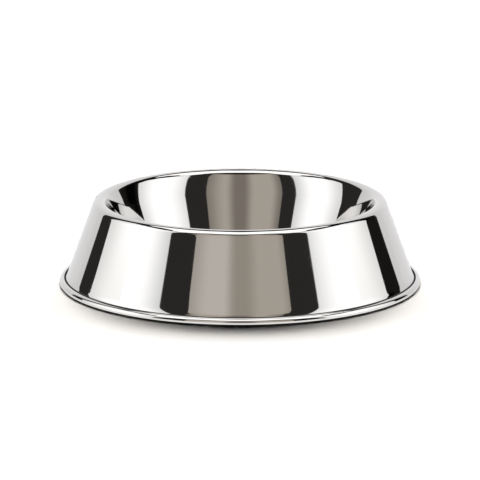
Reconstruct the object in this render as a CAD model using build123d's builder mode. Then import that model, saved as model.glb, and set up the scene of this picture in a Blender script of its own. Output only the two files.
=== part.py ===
from build123d import *

import os
from math import acos, atan2, cos, degrees, radians, tan

# A low, wide pet bowl that is hard to tip: a drawn steel cup, a flared steel skirt and a rubber ring.
# Millimetres, +Z up, with the origin on the floor below the middle of the bowl.
# Each piece is a section turned about Z, and a section point is (distance from the axis, height).
# Section angles are in degrees, counted from the outward direction towards +Z.

# Overall sizes
base_diameter = 260.0  # across the rolled hem at the foot
overall_height = 62.0  # floor to the crown of the rim
sheet = 0.8  # steel of the cup and the skirt

# Rim
rim_diameter = 201.4  # circle through the crown of the rim
rim_radius = 5.3  # outside of the rounded rim
shoulder_radius = 70.0  # wide bend inside the mouth, between the rim and the straight wall
shoulder_turn = 11.0  # angle of that bend
seam_drop = 1.5  # seam of cup and skirt below the shoulder

# Foot of the skirt
flare_radius = 16.0  # outside of the wall where it sweeps out above the hem
flare_angle = 50.0  # slope of the wall from the vertical where it turns into the hem
hem_radius = 0.4  # inside of the tight bend under the hem
roll_radius = 3.0  # outside of the hem's rolled top
hem_gap = 1.2  # open slit between the raw edge of the hem and the wall

# Cup
cup_draft = 21.0  # slope of the cup wall from the vertical
cup_corner_radius = 18.0  # inside, between wall and floor
cup_lift = 5.0  # underside of the cup above what the bowl stands on

# Rubber ring
ring_foot = 0.7  # rubber under the hem
ring_lip = 2.5  # lip above the top of the flare
ring_thickness = 2.5  # rubber at the top of the lip
ring_clearance = 0.3  # between rubber and steel


def on_circle(centre, radius, angle):
    """Section point at an angle on a circle."""
    return centre + Vector(radius, 0).rotate(Axis.Z, angle)


# Circles of the skirt's section, from the rim down to the hem
rim_centre = Vector(rim_diameter / 2, overall_height - rim_radius)
hem_outside = hem_radius + sheet
hem_centre = Vector(base_diameter / 2 - hem_outside, ring_foot + ring_clearance + hem_outside)
roll_centre = Vector(base_diameter / 2 - roll_radius, hem_centre.Y)
roll_inside = roll_radius - sheet
flare_centre = on_circle(hem_centre, flare_radius - hem_radius, flare_angle)

# The skirt wall touches the rim circle and the flare circle: its slope from the vertical
rim_to_flare = flare_centre - rim_centre
skirt_angle = degrees(
    atan2(rim_to_flare.Y, rim_to_flare.X) + acos((rim_radius + flare_radius) / rim_to_flare.length)
)
flare_turn = flare_angle - skirt_angle

# The roll ends where its raw edge is the hem gap away from the flare
roll_to_flare = flare_centre - roll_centre
edge_reach = flare_radius - hem_gap
roll_turn = degrees(
    atan2(roll_to_flare.Y, roll_to_flare.X)
    + acos(
        (roll_radius**2 + roll_to_flare.length**2 - edge_reach**2) / (2 * roll_radius * roll_to_flare.length)
    )
)

# Inside the mouth the rim runs into the shoulder, and the shoulder into the straight wall of the cup
wall_angle = 180 - cup_draft
shoulder_start = wall_angle - shoulder_turn
rim_turn = shoulder_start - skirt_angle
shoulder_centre = on_circle(rim_centre, rim_radius - shoulder_radius, shoulder_start)


def wall_top(depth):
    """Lower end of the shoulder, at a depth into the steel from its polished face."""
    return on_circle(shoulder_centre, shoulder_radius - depth, wall_angle)


def wall_point(depth, height):
    """Point of the inner wall at a height, at a depth into the steel from its polished face."""
    top = wall_top(depth)
    return Vector(top.X - (top.Y - height) * tan(radians(cup_draft)), height)


seam_height = wall_top(0).Y - seam_drop
cup_floor = cup_lift + sheet
corner_inset = Vector(cup_corner_radius / cos(radians(cup_draft)), 0)
corner_centre = wall_point(0, cup_floor + cup_corner_radius) - corner_inset

os.makedirs("parts", exist_ok=True)

# Cup that holds the food, up to the seam
with BuildPart() as food_bowl:
    with BuildSketch(Plane.XZ):
        with BuildLine():
            inside_corner = CenterArc(corner_centre, cup_corner_radius, -90, 90 - cup_draft)
            outside_corner = CenterArc(corner_centre, cup_corner_radius + sheet, -90, 90 - cup_draft)
            Polyline(
                inside_corner @ 1,
                wall_point(0, seam_height),
                wall_point(sheet, seam_height),
                outside_corner @ 1,
            )
            Polyline(inside_corner @ 0, (0, cup_floor), (0, cup_lift), outside_corner @ 0)
        make_face()
    revolve(axis=Axis.Z)
food_bowl.part.label = "food_bowl"
export_step(food_bowl.part, "parts/food_bowl.step")

# Skirt: the two faces of its sheet are tangent lines and arcs about the same centres
with BuildPart() as outer_skirt:
    with BuildSketch(Plane.XZ):
        with BuildLine():
            raw_edge = []
            for depth in (0, sheet):
                rim_face = CenterArc(rim_centre, rim_radius - depth, skirt_angle, rim_turn)
                CenterArc(shoulder_centre, shoulder_radius - depth, shoulder_start, shoulder_turn)
                flare_face = CenterArc(flare_centre, flare_radius + depth, 180 + skirt_angle, flare_turn)
                CenterArc(hem_centre, hem_radius + depth, 180 + flare_angle, 180 - flare_angle)
                roll_face = CenterArc(roll_centre, roll_inside + depth, 0, roll_turn)
                Line(wall_point(depth, seam_height), wall_top(depth))
                Line(rim_face @ 0, flare_face @ 0)
                raw_edge.append(roll_face @ 1)
            Line(raw_edge)
            Line(wall_point(0, seam_height), wall_point(sheet, seam_height))
        make_face()
    revolve(axis=Axis.Z)
outer_skirt.part.label = "outer_skirt"
export_step(outer_skirt.part, "parts/outer_skirt.step")

# Rubber ring: its seat follows the inside of the skirt, from under the hem to above the flare
with BuildPart() as antislip_ring:
    with BuildSketch(Plane.XZ):
        with BuildLine():
            seat_depth = sheet + ring_clearance
            flare_seat = CenterArc(flare_centre, flare_radius + seat_depth, 180 + skirt_angle, flare_turn)
            hem_seat = CenterArc(hem_centre, hem_radius + seat_depth, 180 + flare_angle, 90 - flare_angle)
            lip_edge = flare_seat @ 0 + Vector(-ring_lip * tan(radians(skirt_angle)), ring_lip)
            ring_inside = lip_edge.X - ring_thickness
            Polyline(
                flare_seat @ 0,
                lip_edge,
                (ring_inside, lip_edge.Y),
                (ring_inside, 0),
                (hem_centre.X, 0),
                hem_seat @ 1,
            )
        make_face()
    revolve(axis=Axis.Z)
antislip_ring.part.label = "antislip_ring"
export_step(antislip_ring.part, "parts/antislip_ring.step")
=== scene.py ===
from math import acos, atan2, ceil, cos, degrees, hypot, radians, sin, tan

import bpy
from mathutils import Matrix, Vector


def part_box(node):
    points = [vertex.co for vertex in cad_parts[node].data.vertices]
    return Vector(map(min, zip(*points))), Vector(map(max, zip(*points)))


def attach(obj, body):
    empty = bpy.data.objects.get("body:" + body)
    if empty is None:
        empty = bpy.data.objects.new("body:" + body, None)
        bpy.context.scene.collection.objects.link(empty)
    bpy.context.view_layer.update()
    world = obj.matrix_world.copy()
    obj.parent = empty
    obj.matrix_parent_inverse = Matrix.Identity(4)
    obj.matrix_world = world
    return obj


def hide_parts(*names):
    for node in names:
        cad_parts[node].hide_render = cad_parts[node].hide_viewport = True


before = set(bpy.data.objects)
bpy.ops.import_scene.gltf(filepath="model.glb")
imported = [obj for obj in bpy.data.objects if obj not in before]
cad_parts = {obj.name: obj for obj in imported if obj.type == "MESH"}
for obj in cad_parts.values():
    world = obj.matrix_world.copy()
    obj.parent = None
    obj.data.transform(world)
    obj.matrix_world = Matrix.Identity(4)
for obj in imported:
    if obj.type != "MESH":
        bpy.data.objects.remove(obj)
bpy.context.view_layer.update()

# Lengths are in metres and angles in degrees, in the frame of the bowl: +Z up, the camera on the -Y side.
# A section point is (distance from the axis, height).
# A section angle counts up from the outward direction.
MM = 0.001

# Sizes of the steel, from the frame
base_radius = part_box("outer_skirt")[1][0]
rim_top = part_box("outer_skirt")[1][2]
hem_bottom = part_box("outer_skirt")[0][2]
seam_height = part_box("food_bowl")[1][2]
cup_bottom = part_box("food_bowl")[0][2]

# Sizes of the steel that a box doesn't tell
sheet = 0.8 * MM
rim_circle_radius = 100.7 * MM
rim_radius = 5.3 * MM
flare_radius = 16.0 * MM
flare_angle = 50.0
hem_radius = 0.4 * MM
roll_radius = 3.0 * MM
hem_gap = 1.2 * MM
shoulder_radius = 70.0 * MM
shoulder_turn = 11.0
cup_draft = 21.0
cup_corner_radius = 18.0 * MM

# Sizes of the rubber ring
ring_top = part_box("antislip_ring")[1][2]
ring_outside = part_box("antislip_ring")[1][0]
ring_clearance = 0.3 * MM
ring_thickness = 2.5 * MM
ring_edge_round = 0.3 * MM
grip_grooves = 3
grip_groove_radius = 0.45 * MM

# Mesh fineness
turn_steps = 240
bend_step = 3.0
row_spacing = 1.6 * MM
row_guard = 0.5  # keeps a row's first point from being rounded into the row before
weld_distance = 0.004 * MM
sharp_angle = 40.0

# Camera
camera_back = 3.12
camera_height = 0.763
camera_tilt = 13.198
camera_lens = 333.7
camera_sensor = 36.0
camera_clip = (0.01, 100.0)

# Floor
floor_half = 12.0
floor_drop = 0.05 * MM
floor_colour = (0.9, 0.9, 0.9, 1.0)
# Painted light: a warm tint painted on the floor near the bowl, for warm bounce light in its shadow
floor_painted_bounce = (0.925, 0.897, 0.858, 1.0)  # near the bowl, where its shadow is warm
floor_painted_bounce_reach = (0.155, 0.19)  # distances from the axis between which that tint ends
# Painted light: a glow that rays mirrored by the steel see in place of the lit floor, brighter in front than
# behind
floor_painted_glow_front = (1.2, 1.2, 1.2, 1.0)  # as the steel shows it, before and behind the change
floor_painted_glow_back = (0.9, 0.9, 0.91, 1.0)
floor_painted_glow_change = (-0.1, 0.0)  # y

# Polished steel
steel_tones = ((0.635, 0.621, 0.607, 1.0), (0.655, 0.641, 0.627, 1.0))
steel_roughness = 0.02
polish_lines = 2600.0  # per metre, across the lines
polish_sweep = 1.5  # change of the lines round the axis
polish_detail = 3.0
polish_contrast = 0.6
polish_roughness = 0.02
polish_bump = 0.015
polish_depth = 0.2 * MM
smear_scale = 38.0
smear_detail = 5.0
smear_contrast = 0.55
smear_range = (0.45, 0.75)
smear_roughness = 0.03

# Painted shade: a near-black tone painted into the crevice behind the roll of the hem, which is also made
# rougher
crevice_painted_shade = (0.02, 0.02, 0.02, 1.0)
crevice_roughness = 0.4
crevice_depth = (0.3 * MM, 0.5 * MM)  # under the roll's outer face
crevice_level = (-0.2 * MM, 0.2 * MM)  # above the roll's centre
crevice_foot = (-0.8 * MM, -0.4 * MM)  # depth where the flare behind the roll turns dark
crevice_off_flare = (0.1 * MM, 0.3 * MM)

# Rubber
rubber_tones = ((0.010, 0.010, 0.010, 1.0), (0.020, 0.020, 0.021, 1.0))
rubber_roughness = 0.62
rubber_shine = 0.1
rubber_detail = 4.0
grain_scale = 2200.0
grain_bump = 0.4
grain_depth = 0.1 * MM
bloom_scale = 55.0
bloom_range = (0.4, 0.8)
bloom_roughness = 0.18


class Number:
    """A number on a socket. Arithmetic on it adds Math nodes to its tree."""

    def __init__(self, nodes, socket):
        self.nodes = nodes
        self.socket = socket

    def math(self, operation, *others):
        return self.nodes.math(operation, self, *others)

    def __add__(self, other):
        return self.nodes.math("ADD", self, other)

    def __sub__(self, other):
        return self.nodes.math("SUBTRACT", self, other)

    def __rsub__(self, other):
        return self.nodes.math("SUBTRACT", other, self)

    def __mul__(self, other):
        return self.nodes.math("MULTIPLY", self, other)

    def __truediv__(self, other):
        return self.nodes.math("DIVIDE", self, other)

    def __rtruediv__(self, other):
        return self.nodes.math("DIVIDE", other, self)

    def __neg__(self):
        return self.nodes.math("SUBTRACT", 0.0, self)

    def __abs__(self):
        return self.nodes.math("ABSOLUTE", self)

    __radd__ = __add__
    __rmul__ = __mul__


class Nodes:
    """A node tree that is written one node at a time."""

    def __init__(self, tree):
        self.tree = tree
        tree.nodes.clear()

    def add(self, kind, settings=None, sockets=None):
        """Adds a node of any kind: its settings first, then the values or links of its sockets."""
        node = self.tree.nodes.new(kind)
        for name, value in (settings or {}).items():
            setattr(node, name, value)
        for key, value in (sockets or {}).items():
            source = value.socket if isinstance(value, Number) else value
            if isinstance(source, bpy.types.NodeSocket):
                self.tree.links.new(source, node.inputs[key])
            else:
                node.inputs[key].default_value = source
        return node

    def math(self, operation, *values):
        node = self.add("ShaderNodeMath", {"operation": operation}, dict(enumerate(values)))
        return Number(self, node.outputs[0])

    def number(self, socket):
        return Number(self, socket)

    def split(self, vector):
        """The X, Y and Z of a vector, as numbers."""
        node = self.add("ShaderNodeSeparateXYZ", None, {0: vector})
        return [Number(self, socket) for socket in node.outputs]

    def vector(self, x, y, z):
        return self.add("ShaderNodeCombineXYZ", None, {0: x, 1: y, 2: z}).outputs[0]

    def rise(self, value, low, high):
        """A soft step from 0 at low to 1 at high."""
        node = self.add(
            "ShaderNodeMapRange",
            {"interpolation_type": "SMOOTHSTEP"},
            {"Value": value, "From Min": low, "From Max": high},
        )
        return Number(self, node.outputs[0])

    def blend(self, factor, first, second):
        """Mixes two colours by a factor."""
        node = self.add("ShaderNodeMix", {"data_type": "RGBA"}, {0: factor, 6: first, 7: second})
        return node.outputs[2]


# Sections


def around(centre, radius, angle):
    """Section point at an angle on a circle."""
    return (centre[0] + radius * cos(radians(angle)), centre[1] + radius * sin(radians(angle)))


def bend(centre, radius, start, turn):
    """Points of an arc of a section."""
    steps = max(2, ceil(abs(turn) / bend_step))
    return [around(centre, radius, start + turn * step / steps) for step in range(steps + 1)]


def trace(*stretches):
    """One line through all the stretches, with even rows along each straight run between two of them."""
    line = list(stretches[0])
    for stretch in stretches[1:]:
        start, end = line[-1], stretch[0]
        rows = ceil(hypot(end[0] - start[0], end[1] - start[1]) / row_spacing)
        for row in range(1, rows):
            share = row / rows
            line.append((start[0] + share * (end[0] - start[0]), start[1] + share * (end[1] - start[1])))
        line.extend(stretch)
    return line


rim_centre = (rim_circle_radius, rim_top - rim_radius)
hem_outside = hem_radius + sheet
hem_centre = (base_radius - hem_outside, hem_bottom + hem_outside)
roll_centre = (base_radius - roll_radius, hem_centre[1])
flare_centre = around(hem_centre, flare_radius - hem_radius, flare_angle)

# The skirt wall touches the rim circle and the flare circle
fall = (flare_centre[0] - rim_centre[0], flare_centre[1] - rim_centre[1])
skirt_angle = degrees(atan2(fall[1], fall[0]) + acos((rim_radius + flare_radius) / hypot(*fall)))

# The roll ends where its raw edge is the hem gap away from the flare
lean = (flare_centre[0] - roll_centre[0], flare_centre[1] - roll_centre[1])
edge_reach = flare_radius - hem_gap
roll_turn = degrees(
    atan2(lean[1], lean[0])
    + acos((roll_radius**2 + hypot(*lean) ** 2 - edge_reach**2) / (2 * roll_radius * hypot(*lean)))
)

# The rim runs into a wide shoulder, which runs into the straight inner wall
shoulder_top = 180 - cup_draft - shoulder_turn
shoulder_centre = around(rim_centre, rim_radius - shoulder_radius, shoulder_top)


def wall_point(depth, height):
    """Point of the inner wall at a height, at a depth into the steel from its polished face."""
    top = around(shoulder_centre, shoulder_radius - depth, 180 - cup_draft)
    return (top[0] - (top[1] - height) * tan(radians(cup_draft)), height)


def skirt_face(depth):
    """One face of the skirt's sheet, from the seam over the rim and down to the raw edge of the roll."""
    return trace(
        [wall_point(depth, seam_height)],
        bend(shoulder_centre, shoulder_radius - depth, 180 - cup_draft, -shoulder_turn),
        bend(rim_centre, rim_radius - depth, shoulder_top, skirt_angle - shoulder_top),
        bend(flare_centre, flare_radius + depth, 180 + skirt_angle, flare_angle - skirt_angle),
        bend(hem_centre, hem_radius + depth, 180 + flare_angle, 180 - flare_angle),
        bend(roll_centre, roll_radius - sheet + depth, 0, roll_turn),
    )


def skirt_section():
    """Closed section of the skirt, with the raw edge of its roll rounded over."""
    mid = around(roll_centre, roll_radius - sheet / 2, roll_turn)
    edge = bend(mid, sheet / 2, roll_turn + 180, -180)
    polished, hidden = skirt_face(0), skirt_face(sheet)
    loop = polished + edge[1:-1] + hidden[::-1]
    return loop + loop[:1]


def cup_section():
    """Section of the cup: its inside from the axis up to the seam, then its outside back to the axis."""
    floor_height = cup_bottom + sheet
    corner_height = floor_height + cup_corner_radius
    inset = cup_corner_radius / cos(radians(cup_draft))
    corner_centre = (wall_point(0, corner_height)[0] - inset, corner_height)
    inside = trace(
        [(0, floor_height)],
        bend(corner_centre, cup_corner_radius, -90, 90 - cup_draft),
        [wall_point(0, seam_height)],
    )
    outside = trace(
        [wall_point(sheet, seam_height)],
        bend(corner_centre, cup_corner_radius + sheet, -cup_draft, cup_draft - 90),
        [(0, cup_bottom)],
    )
    return inside + outside


def ring_section():
    """Closed section of the rubber ring: lip, seat under the steel, edge, grooved underside and inside."""
    depth = sheet + ring_clearance
    flare_seat = bend(flare_centre, flare_radius + depth, 180 + skirt_angle, flare_angle - skirt_angle)
    hem_seat = bend(hem_centre, hem_radius + depth, 180 + flare_angle, 90 - flare_angle)
    lip_out = flare_seat[0][0] - (ring_top - flare_seat[0][1]) * tan(radians(skirt_angle))
    inside = lip_out - ring_thickness
    rounded = ring_edge_round
    groove_pitch = (ring_outside - inside) / (grip_grooves + 1)
    grooves = [
        bend((ring_outside - groove_pitch * (number + 1), 0), grip_groove_radius, 0, 180)
        for number in range(grip_grooves)
    ]
    loop = trace(
        bend((lip_out - rounded, ring_top - rounded), rounded, 90, skirt_angle - 90),
        flare_seat,
        hem_seat,
        bend((ring_outside - rounded, rounded), rounded, 0, -90),
        *grooves,
        bend((inside + rounded, rounded), rounded, -90, -90),
        bend((inside + rounded, ring_top - rounded), rounded, 180, -90),
    )
    return loop + loop[:1]


# Turned shells


def turning_tree():
    """Geometry nodes that turn a section line about the Z axis into a closed shell."""
    tree = bpy.data.node_groups.new("turned_shell", "GeometryNodeTree")
    for name, kind in (
        ("Section", "NodeSocketGeometry"),
        ("Turn Steps", "NodeSocketInt"),
        ("Weld Distance", "NodeSocketFloat"),
        ("Finish", "NodeSocketMaterial"),
    ):
        tree.interface.new_socket(name=name, in_out="INPUT", socket_type=kind)
    tree.interface.new_socket(name="Shell", in_out="OUTPUT", socket_type="NodeSocketGeometry")
    nodes = Nodes(tree)
    given = nodes.add("NodeGroupInput").outputs
    rows = nodes.add("GeometryNodeAttributeDomainSize", {"component": "MESH"}, {0: given["Section"]})
    columns = nodes.number(given["Turn Steps"]) + 1
    grid = nodes.add("GeometryNodeMeshGrid", None, {"Vertices X": rows.outputs[0], "Vertices Y": columns})
    index = nodes.number(nodes.add("GeometryNodeInputIndex").outputs[0])
    row = ((index + row_guard) / columns).math("FLOOR")
    angle = (index - row * columns) / given["Turn Steps"] * radians(360)
    place = nodes.add("GeometryNodeInputPosition").outputs[0]
    point = nodes.add(
        "GeometryNodeSampleIndex",
        {"data_type": "FLOAT_VECTOR", "domain": "POINT"},
        {"Geometry": given["Section"], "Value": place, "Index": row},
    )
    distance, _, height = nodes.split(point.outputs[0])
    turned = nodes.vector(distance * angle.math("COSINE"), distance * angle.math("SINE"), height)
    moved = nodes.add("GeometryNodeSetPosition", None, {"Geometry": grid.outputs[0], "Position": turned})
    welded = nodes.add(
        "GeometryNodeMergeByDistance",
        None,
        {"Geometry": moved.outputs[0], "Distance": given["Weld Distance"]},
    )
    smooth = nodes.add("GeometryNodeSetShadeSmooth", None, {"Geometry": welded.outputs[0]})
    real = nodes.add("GeometryNodeRealizeInstances", None, {"Geometry": smooth.outputs[0]})
    done = nodes.add(
        "GeometryNodeSetMaterial", None, {"Geometry": real.outputs[0], "Material": given["Finish"]}
    )
    nodes.add("NodeGroupOutput", None, {0: done.outputs[0]})
    return tree


def turned(name, section, tree, finish):
    """A piece made by turning a section, as a plain mesh at the origin."""
    line = bpy.data.meshes.new(name)
    edges = [(number, number + 1) for number in range(len(section) - 1)]
    line.from_pydata([(distance, 0, height) for distance, height in section], edges, [])
    piece = bpy.data.objects.new(name, line)
    bpy.context.scene.collection.objects.link(piece)
    modifier = piece.modifiers.new("turning", "NODES")
    modifier.node_group = tree
    values = {"Turn Steps": turn_steps, "Weld Distance": weld_distance, "Finish": finish}
    for socket in tree.interface.items_tree:
        if socket.name in values:
            modifier[socket.identifier] = values[socket.name]
    depsgraph = bpy.context.evaluated_depsgraph_get()
    mesh = bpy.data.meshes.new_from_object(piece.evaluated_get(depsgraph))
    piece.modifiers.remove(modifier)
    piece.data = mesh
    mesh.name = name
    mesh.set_sharp_from_angle(angle=radians(sharp_angle))
    return piece


# Finishes

half_bounce = 0.5  # between no bounce and one


def finish_nodes(name):
    """A new material, its nodes and its shader."""
    material = bpy.data.materials.new(name)
    material.use_nodes = True
    nodes = Nodes(material.node_tree)
    shader = nodes.add("ShaderNodeBsdfPrincipled")
    nodes.add("ShaderNodeOutputMaterial", None, {"Surface": shader.outputs[0]})
    return material, nodes, shader


def polished_steel():
    """Mirror-polished steel: faint polishing lines, a few hazy smears and painted shade in the crevice behind
    the roll.
    """
    material, nodes, shader = finish_nodes("polished_steel")
    place = nodes.add("ShaderNodeTexCoord").outputs["Object"]
    x, y, z = nodes.split(place)
    distance = (x * x + y * y).math("SQRT")
    turn = y.math("ARCTAN2", x)
    lines = nodes.add(
        "ShaderNodeTexNoise",
        {"noise_dimensions": "4D"},
        {
            "Vector": nodes.vector(
                distance * polish_lines, z * polish_lines, turn.math("COSINE") * polish_sweep
            ),
            "W": turn.math("SINE") * polish_sweep,
            "Scale": 1.0,
            "Detail": polish_detail,
            "Roughness": polish_contrast,
        },
    )
    smears = nodes.add(
        "ShaderNodeTexNoise",
        None,
        {"Vector": place, "Scale": smear_scale, "Detail": smear_detail, "Roughness": smear_contrast},
    )
    line = nodes.number(lines.outputs[0])
    smear = nodes.rise(nodes.number(smears.outputs[0]), *smear_range)
    roughness = steel_roughness + polish_roughness * line + smear_roughness * smear
    tone = nodes.blend(line, *steel_tones)

    # Painted shade in the crevice: the inside of the roll's upper half, and the flare that it faces, are
    # painted dark and made rougher
    out, up = distance - roll_centre[0], z - roll_centre[1]
    depth = roll_radius - (out * out + up * up).math("SQRT")
    in_roll = nodes.rise(depth, *crevice_depth) * nodes.rise(up, *crevice_level)
    out, up = distance - flare_centre[0], z - flare_centre[1]
    off_flare = abs((out * out + up * up).math("SQRT") - flare_radius)
    on_flare = nodes.rise(depth, *crevice_foot) * (1 - nodes.rise(off_flare, *crevice_off_flare))
    crevice_shade_mask = in_roll.math("MAXIMUM", on_flare)
    roughness = roughness + crevice_roughness * crevice_shade_mask
    tone = nodes.blend(crevice_shade_mask, tone, crevice_painted_shade)

    nodes.tree.links.new(roughness.socket, shader.inputs["Roughness"])
    nodes.tree.links.new(tone, shader.inputs["Base Color"])
    shader.inputs["Metallic"].default_value = 1.0
    bump = nodes.add(
        "ShaderNodeBump",
        None,
        {"Strength": polish_bump, "Distance": polish_depth, "Height": lines.outputs[0]},
    )
    nodes.tree.links.new(bump.outputs[0], shader.inputs["Normal"])
    return material


def black_rubber():
    """Matt black rubber with a fine moulded grain and a little grey bloom."""
    material, nodes, shader = finish_nodes("black_rubber")
    place = nodes.add("ShaderNodeTexCoord").outputs["Object"]
    grain, bloom = [
        nodes.add("ShaderNodeTexNoise", None, {"Vector": place, "Scale": scale, "Detail": rubber_detail})
        for scale in (grain_scale, bloom_scale)
    ]
    dust = nodes.rise(nodes.number(bloom.outputs[0]), *bloom_range)
    tone = nodes.blend(dust, *rubber_tones)
    nodes.tree.links.new(tone, shader.inputs["Base Color"])
    roughness = rubber_roughness + bloom_roughness * dust
    nodes.tree.links.new(roughness.socket, shader.inputs["Roughness"])
    shader.inputs["Specular IOR Level"].default_value = rubber_shine
    bump = nodes.add(
        "ShaderNodeBump", None, {"Strength": grain_bump, "Distance": grain_depth, "Height": grain.outputs[0]}
    )
    nodes.tree.links.new(bump.outputs[0], shader.inputs["Normal"])
    return material


def before_matt(nodes, path):
    """1 for a ray that hasn't left a matt surface yet, 0 for one that has."""
    return nodes.math("LESS_THAN", path["Diffuse Depth"], half_bounce)


def pale_floor():
    """Pale floor with a painted warm tint near the bowl that stands in for warm light in its shadow. Rays
    mirrored by the steel see it as a painted glow, brighter in front than behind. From below it is clear.
    """
    material = bpy.data.materials.new("pale_floor")
    material.use_nodes = True
    nodes = Nodes(material.node_tree)
    x, y, _ = nodes.split(nodes.add("ShaderNodeTexCoord").outputs["Object"])
    distance = (x * x + y * y).math("SQRT")
    # Painted light: the floor's colour turns warm near the bowl, where its shadow falls
    colour = nodes.blend(nodes.rise(distance, *floor_painted_bounce_reach), floor_painted_bounce, floor_colour)
    matt = nodes.add(
        "ShaderNodeBsdfPrincipled", None, {"Base Color": colour, "Roughness": 1.0, "Specular IOR Level": 0.0}
    )
    # Painted light: rays mirrored by the steel see the floor as a glow, brighter in front than behind
    behind = nodes.rise(y, *floor_painted_glow_change)
    tone = nodes.blend(behind, floor_painted_glow_front, floor_painted_glow_back)
    painted_glow = nodes.add("ShaderNodeEmission", None, {"Color": tone})
    path = nodes.add("ShaderNodeLightPath").outputs
    mirrored = before_matt(nodes, path) * path["Is Glossy Ray"]
    both = nodes.add("ShaderNodeMixShader", None, {0: mirrored, 1: matt.outputs[0], 2: painted_glow.outputs[0]})
    clear = nodes.add("ShaderNodeBsdfTransparent")
    below = nodes.add("ShaderNodeNewGeometry").outputs["Backfacing"]
    seen = nodes.add("ShaderNodeMixShader", None, {0: below, 1: both.outputs[0], 2: clear.outputs[0]})
    nodes.add("ShaderNodeOutputMaterial", None, {"Surface": seen.outputs[0]})
    return material


# Studio

# Light by direction. Azimuth counts from the camera side to both sides, elevation from the horizon.
studio_turn = 0.6
near_dark = (0.032, 0.030, 0.028, 1.0)
far_dark_left = (0.030, 0.028, 0.027, 1.0)
far_dark_right = (0.012, 0.0115, 0.011, 1.0)
black = (0.001, 0.001, 0.001, 1.0)
white = (1.0, 1.0, 1.0, 1.0)
overhead_light = (1.75, 1.75, 1.75, 1.0)
softbox_light = (1.62, 1.64, 1.65, 1.0)
softbox_edge_light = (0.92, 0.94, 0.95, 1.0)
softbox_end_light = (1.42, 1.42, 1.42, 1.0)
softbox_far_light = (1.08, 1.09, 1.09, 1.0)
backdrop_light = (0.97, 0.97, 0.98, 1.0)
backdrop_edge_light = (0.86, 0.86, 0.87, 1.0)
card_light = (0.56, 0.515, 0.45, 1.0)
card_bright = (0.70, 0.65, 0.60, 1.0)
card_shade = (0.42, 0.38, 0.325, 1.0)
card_deep_shade = (0.27, 0.237, 0.205, 1.0)
camera_dark = (0.09, 0.085, 0.08, 1.0)

# Panels by direction: both sides, the top, the radius of the top corners and the softness of the edge
softbox_panel = ((50.0, 102.0), 45.5, 8.0, 0.5)
neck_panel = ((54.0, 62.0), 75.0, 3.0, 2.5)
surround_panel = ((-20.0, 55.85), 50.0, 10.0, 0.4)
lens_panel = ((-9.0, 11.0), 20.0, 6.0, 3.0)
neck_share = 0.6

# Left and right halves of the studio blend over this turn
left_range = (-30.0, 30.0)

# Blackest part of the gap on the right: its middle, then the ranges of its fall to both sides and at its foot
deep_side = 118.5
deep_width = (3.5, 9.0)
deep_foot = (9.0, 12.0)

# Lower edge of the box overhead: its elevation in front, then each change of it over a range of azimuth
overhead_start = 62.0
overhead_changes = (
    (-12.0, 36.0, 52.0),
    (9.0, 66.0, 88.0),
    (-6.0, 112.0, 126.0),
    (18.0, 138.0, 152.0),
    (8.0, 160.0, 176.0),
)
overhead_soft = 1.0

# Backdrop: its sides, and how far its near side leans back over a range of elevation
backdrop_sides = (132.0, 220.0)
backdrop_lean = 3.6
backdrop_lean_range = (8.0, 20.0)
backdrop_shape = (46.5, 20.0, 0.5)
backdrop_glow_range = (138.0, 165.0)

# Glow of the softboxes: where it starts, how much later on the left, where it is full and where it falls
glow_start = 44.0
glow_left_delay = 7.0
glow_full = 76.0
glow_fall = (84.0, 130.0)

# Card in front: its sides, and a step in elevation. Above that it is duller, wider on the left
# and a little narrower on the right.
card_sides = (-34.4, 35.0)
card_shape = (50.0, 6.0, 0.4)
card_step = (26.6, 28.2)
card_step_lean = 0.04
card_step_shift = (7.1, 1.0)

# Turns to the side at which the card's tone changes, and shares of black.
# Each pair is a value below and above the step, apart from the range on the right.
card_left_start = (0.5, 3.0)
card_left_bright = 11.0
card_left_full = (11.5, 14.5)
card_right_range = (4.0, 16.0)
card_left_fall = (0.27, 0.5)
card_left_fall_start = (21.0, 30.0)
card_left_fall_end = (36.0, 41.0)
card_right_fall = (0.25, 0.45)
card_right_fall_start = (29.0, 15.0)
card_right_fall_end = 36.0

# Lower part of the card, close in front: its y, the distance that sets its width, and its heights
near_card_y = -0.37
near_card_reach = 0.3125
near_card_heights = (0.135, 0.23)

# Far ends of the softboxes, which stand near enough to look different from each part of the bowl:
# x of the panel, then the y of its edge below and above a step
softbox_ends = ((-0.8, 0.297, 0.355), (1.06, 0.362, 0.425))
softbox_start = -0.12
softbox_faces = ((0, 1, 2, 3), (3, 2, 4, 5), (5, 4, 6, 7))

# Shares of the panel's x: heights of the step and the top,
# then the range of y over which it fades and the range of height over which it gets brighter
softbox_step = (0.15, 0.26)
softbox_rise = 1.05
softbox_fade = (0.0, 0.44)
softbox_bright = (0.18, 0.34)

# Black flag close in front, which shades the left end of the card from the rim and the hem:
# x and y of its near corner, its near edge and its far edge,
# then the heights of its foot, of the near edge's lower end and of its top
flag_edges = ((-0.179, -0.3235), (-0.189, -0.317), (-0.2413, -0.2814))
flag_heights = (0.11, 0.165, 0.23)

# Lights that only the floor shows: turn from straight behind, elevation, power and size
floor_lights = (
    (0.0, 46.0, 2.18, 22.0),
    (-25.0, 50.0, 1.41, 22.0),
    (25.0, 50.0, 1.41, 22.0),
)


def panel(azimuth, elevation, sides, top, corner, soft):
    """Share of a panel with rounded top corners at a direction: 1 inside it, 0 outside. It has no foot."""
    start, end = sides
    aside = (start - azimuth).math("MAXIMUM", azimuth - end) + corner
    above = elevation - (top - corner)
    out = aside.math("MAXIMUM", 0.0).math("POWER", 2.0) + above.math("MAXIMUM", 0.0).math("POWER", 2.0)
    reach = out.math("SQRT") + aside.math("MAXIMUM", above).math("MINIMUM", 0.0)
    return 1 - azimuth.nodes.rise(reach, corner - soft, corner + soft)


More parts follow.
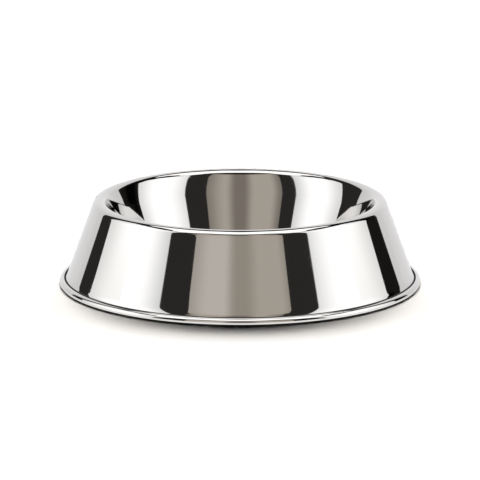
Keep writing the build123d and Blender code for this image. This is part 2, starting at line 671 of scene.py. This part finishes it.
def card_tone(nodes, side, high):
    """Warm grey of the card at a turn to the side: dull in the middle and, above the step, duller still."""

    def at_step(pair):
        below, above = pair
        return below + (above - below) * high

    left_start = at_step(card_left_start)
    bright = nodes.rise(-side, left_start, card_left_bright) * (1 - high)
    front = nodes.blend(bright, card_light, card_bright)
    shade = nodes.blend(high, card_shade, card_deep_shade)
    beside = nodes.rise(-side, left_start, at_step(card_left_full)) + nodes.rise(side, *card_right_range)
    front = nodes.blend(beside, shade, front)
    left_end = nodes.rise(-side, at_step(card_left_fall_start), at_step(card_left_fall_end))
    right_end = nodes.rise(side, at_step(card_right_fall_start), card_right_fall_end)
    fall = at_step(card_left_fall) * left_end + at_step(card_right_fall) * right_end
    return nodes.blend(fall, front, black)


def light_studio():
    """White boxes at the sides and overhead, a pale backdrop, a grey card in front, dark gaps between."""
    world = bpy.data.worlds.new("studio")
    bpy.context.scene.world = world
    world.use_nodes = True
    nodes = Nodes(world.node_tree)
    x, y, z = nodes.split(nodes.add("ShaderNodeTexCoord").outputs["Generated"])
    side = x.math("ARCTAN2", -y) * degrees(1) + studio_turn
    azimuth = abs(side)
    elevation = z.math("ARCSINE") * degrees(1)
    left = nodes.rise(-side, *left_range)
    high = nodes.rise(elevation + card_step_lean * azimuth, *card_step)

    # Dark gaps, then the box overhead
    far_dark = nodes.blend(left, far_dark_right, far_dark_left)
    deep = (1 - nodes.rise(abs(side - deep_side), *deep_width)) * nodes.rise(elevation, *deep_foot)
    light = nodes.blend(deep, far_dark, black)
    overhead_edge = overhead_start
    for change, start, end in overhead_changes:
        overhead_edge = overhead_edge + change * nodes.rise(azimuth, start, end)
    overhead = nodes.rise(elevation - overhead_edge, -overhead_soft, overhead_soft)
    light = nodes.blend(overhead, light, overhead_light)

    # Backdrop
    backdrop_start, backdrop_end = backdrop_sides
    backdrop_start = backdrop_start + backdrop_lean * nodes.rise(elevation, *backdrop_lean_range)
    backdrop = panel(azimuth, elevation, (backdrop_start, backdrop_end), *backdrop_shape)
    backdrop_glow = nodes.rise(azimuth, *backdrop_glow_range)
    backdrop_tone = nodes.blend(backdrop_glow, backdrop_edge_light, backdrop_light)
    light = nodes.blend(backdrop, light, backdrop_tone)

    # Softboxes, each with a narrow neck up to the box overhead
    neck = panel(azimuth, elevation, *neck_panel)
    light = nodes.blend(neck_share * neck, light, softbox_light)
    softbox = panel(azimuth, elevation, *softbox_panel)
    glow = nodes.rise(azimuth, glow_start + glow_left_delay * left, glow_full)
    glow = glow - nodes.rise(azimuth, *glow_fall)
    light = nodes.blend(softbox, light, nodes.blend(glow, softbox_edge_light, softbox_light))

    # Card with a dark surround, and the camera in front of it
    surround = panel(azimuth, elevation, *surround_panel)
    light = nodes.blend(surround, light, near_dark)
    (card_start, card_end), (start_shift, end_shift) = card_sides, card_step_shift
    sides = (card_start - start_shift * high, card_end - end_shift * high)
    card = panel(side, elevation, sides, *card_shape)
    light = nodes.blend(card, light, card_tone(nodes, side, high))
    lens = panel(side, elevation, *lens_panel)
    light = nodes.blend(lens, light, camera_dark)

    # A ray that has left a matt surface finds the studio black, and the camera sees plain white
    path = nodes.add("ShaderNodeLightPath").outputs
    light = nodes.blend(before_matt(nodes, path), black, light)
    shown = nodes.blend(path["Is Camera Ray"], light, white)
    background = nodes.add("ShaderNodeBackground", None, {"Color": shown, "Strength": 1.0})
    nodes.add("ShaderNodeOutputWorld", None, {"Surface": background.outputs[0]})
    world.cycles_visibility.diffuse = False


def stand_mirrored(name, corners, faces, tone):
    """A glowing stage mesh that only the steel shows."""
    mesh = bpy.data.meshes.new(name)
    mesh.from_pydata(corners, [], faces)
    material = bpy.data.materials.new(name)
    material.use_nodes = True
    nodes = Nodes(material.node_tree)
    glow = nodes.add("ShaderNodeEmission", None, {"Color": tone(nodes)})
    nodes.add("ShaderNodeOutputMaterial", None, {"Surface": glow.outputs[0]})
    mesh.materials.append(material)
    stand = bpy.data.objects.new(name, mesh)
    bpy.context.scene.collection.objects.link(stand)
    stand.visible_camera = False
    stand.visible_diffuse = False
    stand.visible_shadow = False


def stand_softbox_ends():
    """The far end of each softbox. It fades towards its edge."""
    corners = []
    faces = []
    for x, low_end, high_end in softbox_ends:
        first = len(corners)
        low, high, top = [share * abs(x) for share in (*softbox_step, softbox_rise)]
        start = softbox_start
        corners += [(x, start, 0), (x, low_end, 0), (x, low_end, low), (x, start, low)]
        corners += [(x, high_end, high), (x, start, high), (x, high_end, top), (x, start, top)]
        faces += [tuple(first + corner for corner in face) for face in softbox_faces]

    def tone(nodes):
        x, y, z = nodes.split(nodes.add("ShaderNodeTexCoord").outputs["Object"])
        near = nodes.blend(nodes.rise(z / abs(x), *softbox_bright), softbox_end_light, softbox_light)
        return nodes.blend(nodes.rise(y / abs(x), *softbox_fade), near, softbox_far_light)

    stand_mirrored("softbox_ends", corners, faces, tone)


def stand_card():
    """The lower part of the card, close in front, where skirt and hem show it and the cup doesn't."""
    left, right = [near_card_reach * tan(radians(side - studio_turn)) for side in card_sides]
    low, high = near_card_heights
    outline = ((left, low), (right, low), (right, high), (left, high))
    corners = [(x, near_card_y, z) for x, z in outline]

    def tone(nodes):
        x, _, _ = nodes.split(nodes.add("ShaderNodeTexCoord").outputs["Object"])
        side = x.math("ARCTAN2", near_card_reach) * degrees(1) + studio_turn
        return card_tone(nodes, side, 0.0)

    stand_mirrored("near_card", corners, [(0, 1, 2, 3)], tone)


def stand_flag():
    """A black flag in front of the bowl, to the left."""
    corner, near, far = flag_edges
    low, middle, high = flag_heights
    corners = [(*corner, low), (*far, low), (*far, high), (*near, high), (*near, middle)]
    stand_mirrored("flag", corners, [(0, 1, 2, 3, 4)], lambda nodes: near_dark)


def light_floor():
    """Soft lights from behind and above. Their shadow of the bowl falls on the floor in front."""
    for turn, elevation, power, size in floor_lights:
        lamp = bpy.data.lights.new("floor_light", "SUN")
        lamp.energy = power
        lamp.angle = radians(size)
        light = bpy.data.objects.new("floor_light", lamp)
        bpy.context.scene.collection.objects.link(light)
        light.rotation_euler = (radians(elevation - 90.0), 0.0, radians(turn))
        light.visible_glossy = False


def lay_floor():
    """A large pale floor under the bowl."""
    mesh = bpy.data.meshes.new("floor")
    outline = ((-1, -1), (1, -1), (1, 1), (-1, 1))
    corners = [(x * floor_half, y * floor_half, -floor_drop) for x, y in outline]
    mesh.from_pydata(corners, [], [(0, 1, 2, 3)])
    floor = bpy.data.objects.new("floor", mesh)
    bpy.context.scene.collection.objects.link(floor)
    mesh.materials.append(pale_floor())


def place_camera():
    """The camera in front of the bowl, looking slightly down."""
    lens = bpy.data.cameras.new("camera")
    lens.lens = camera_lens
    lens.sensor_width = camera_sensor
    lens.clip_start, lens.clip_end = camera_clip
    camera = bpy.data.objects.new("camera", lens)
    bpy.context.scene.collection.objects.link(camera)
    camera.location = (0.0, -camera_back, camera_height)
    camera.rotation_euler = (radians(90.0 - camera_tilt), 0.0, 0.0)
    bpy.context.scene.camera = camera


# The bowl

steel = polished_steel()
rubber = black_rubber()
tree = turning_tree()
for name, section, finish, slot, body, node in (
    ("cup_shell", cup_section(), steel, "polished_steel", "bowl", "food_bowl"),
    ("skirt_shell", skirt_section(), steel, "polished_steel", "bowl", "outer_skirt"),
    ("ring_rubber", ring_section(), rubber, "black_rubber", "ring", "antislip_ring"),
):
    piece = turned(name, section, tree, finish)
    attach(piece, body)
    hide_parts(node)

lay_floor()
light_studio()
stand_softbox_ends()
stand_card()
stand_flag()
light_floor()
place_camera()
bpy.context.scene.view_settings.view_transform = "Standard"
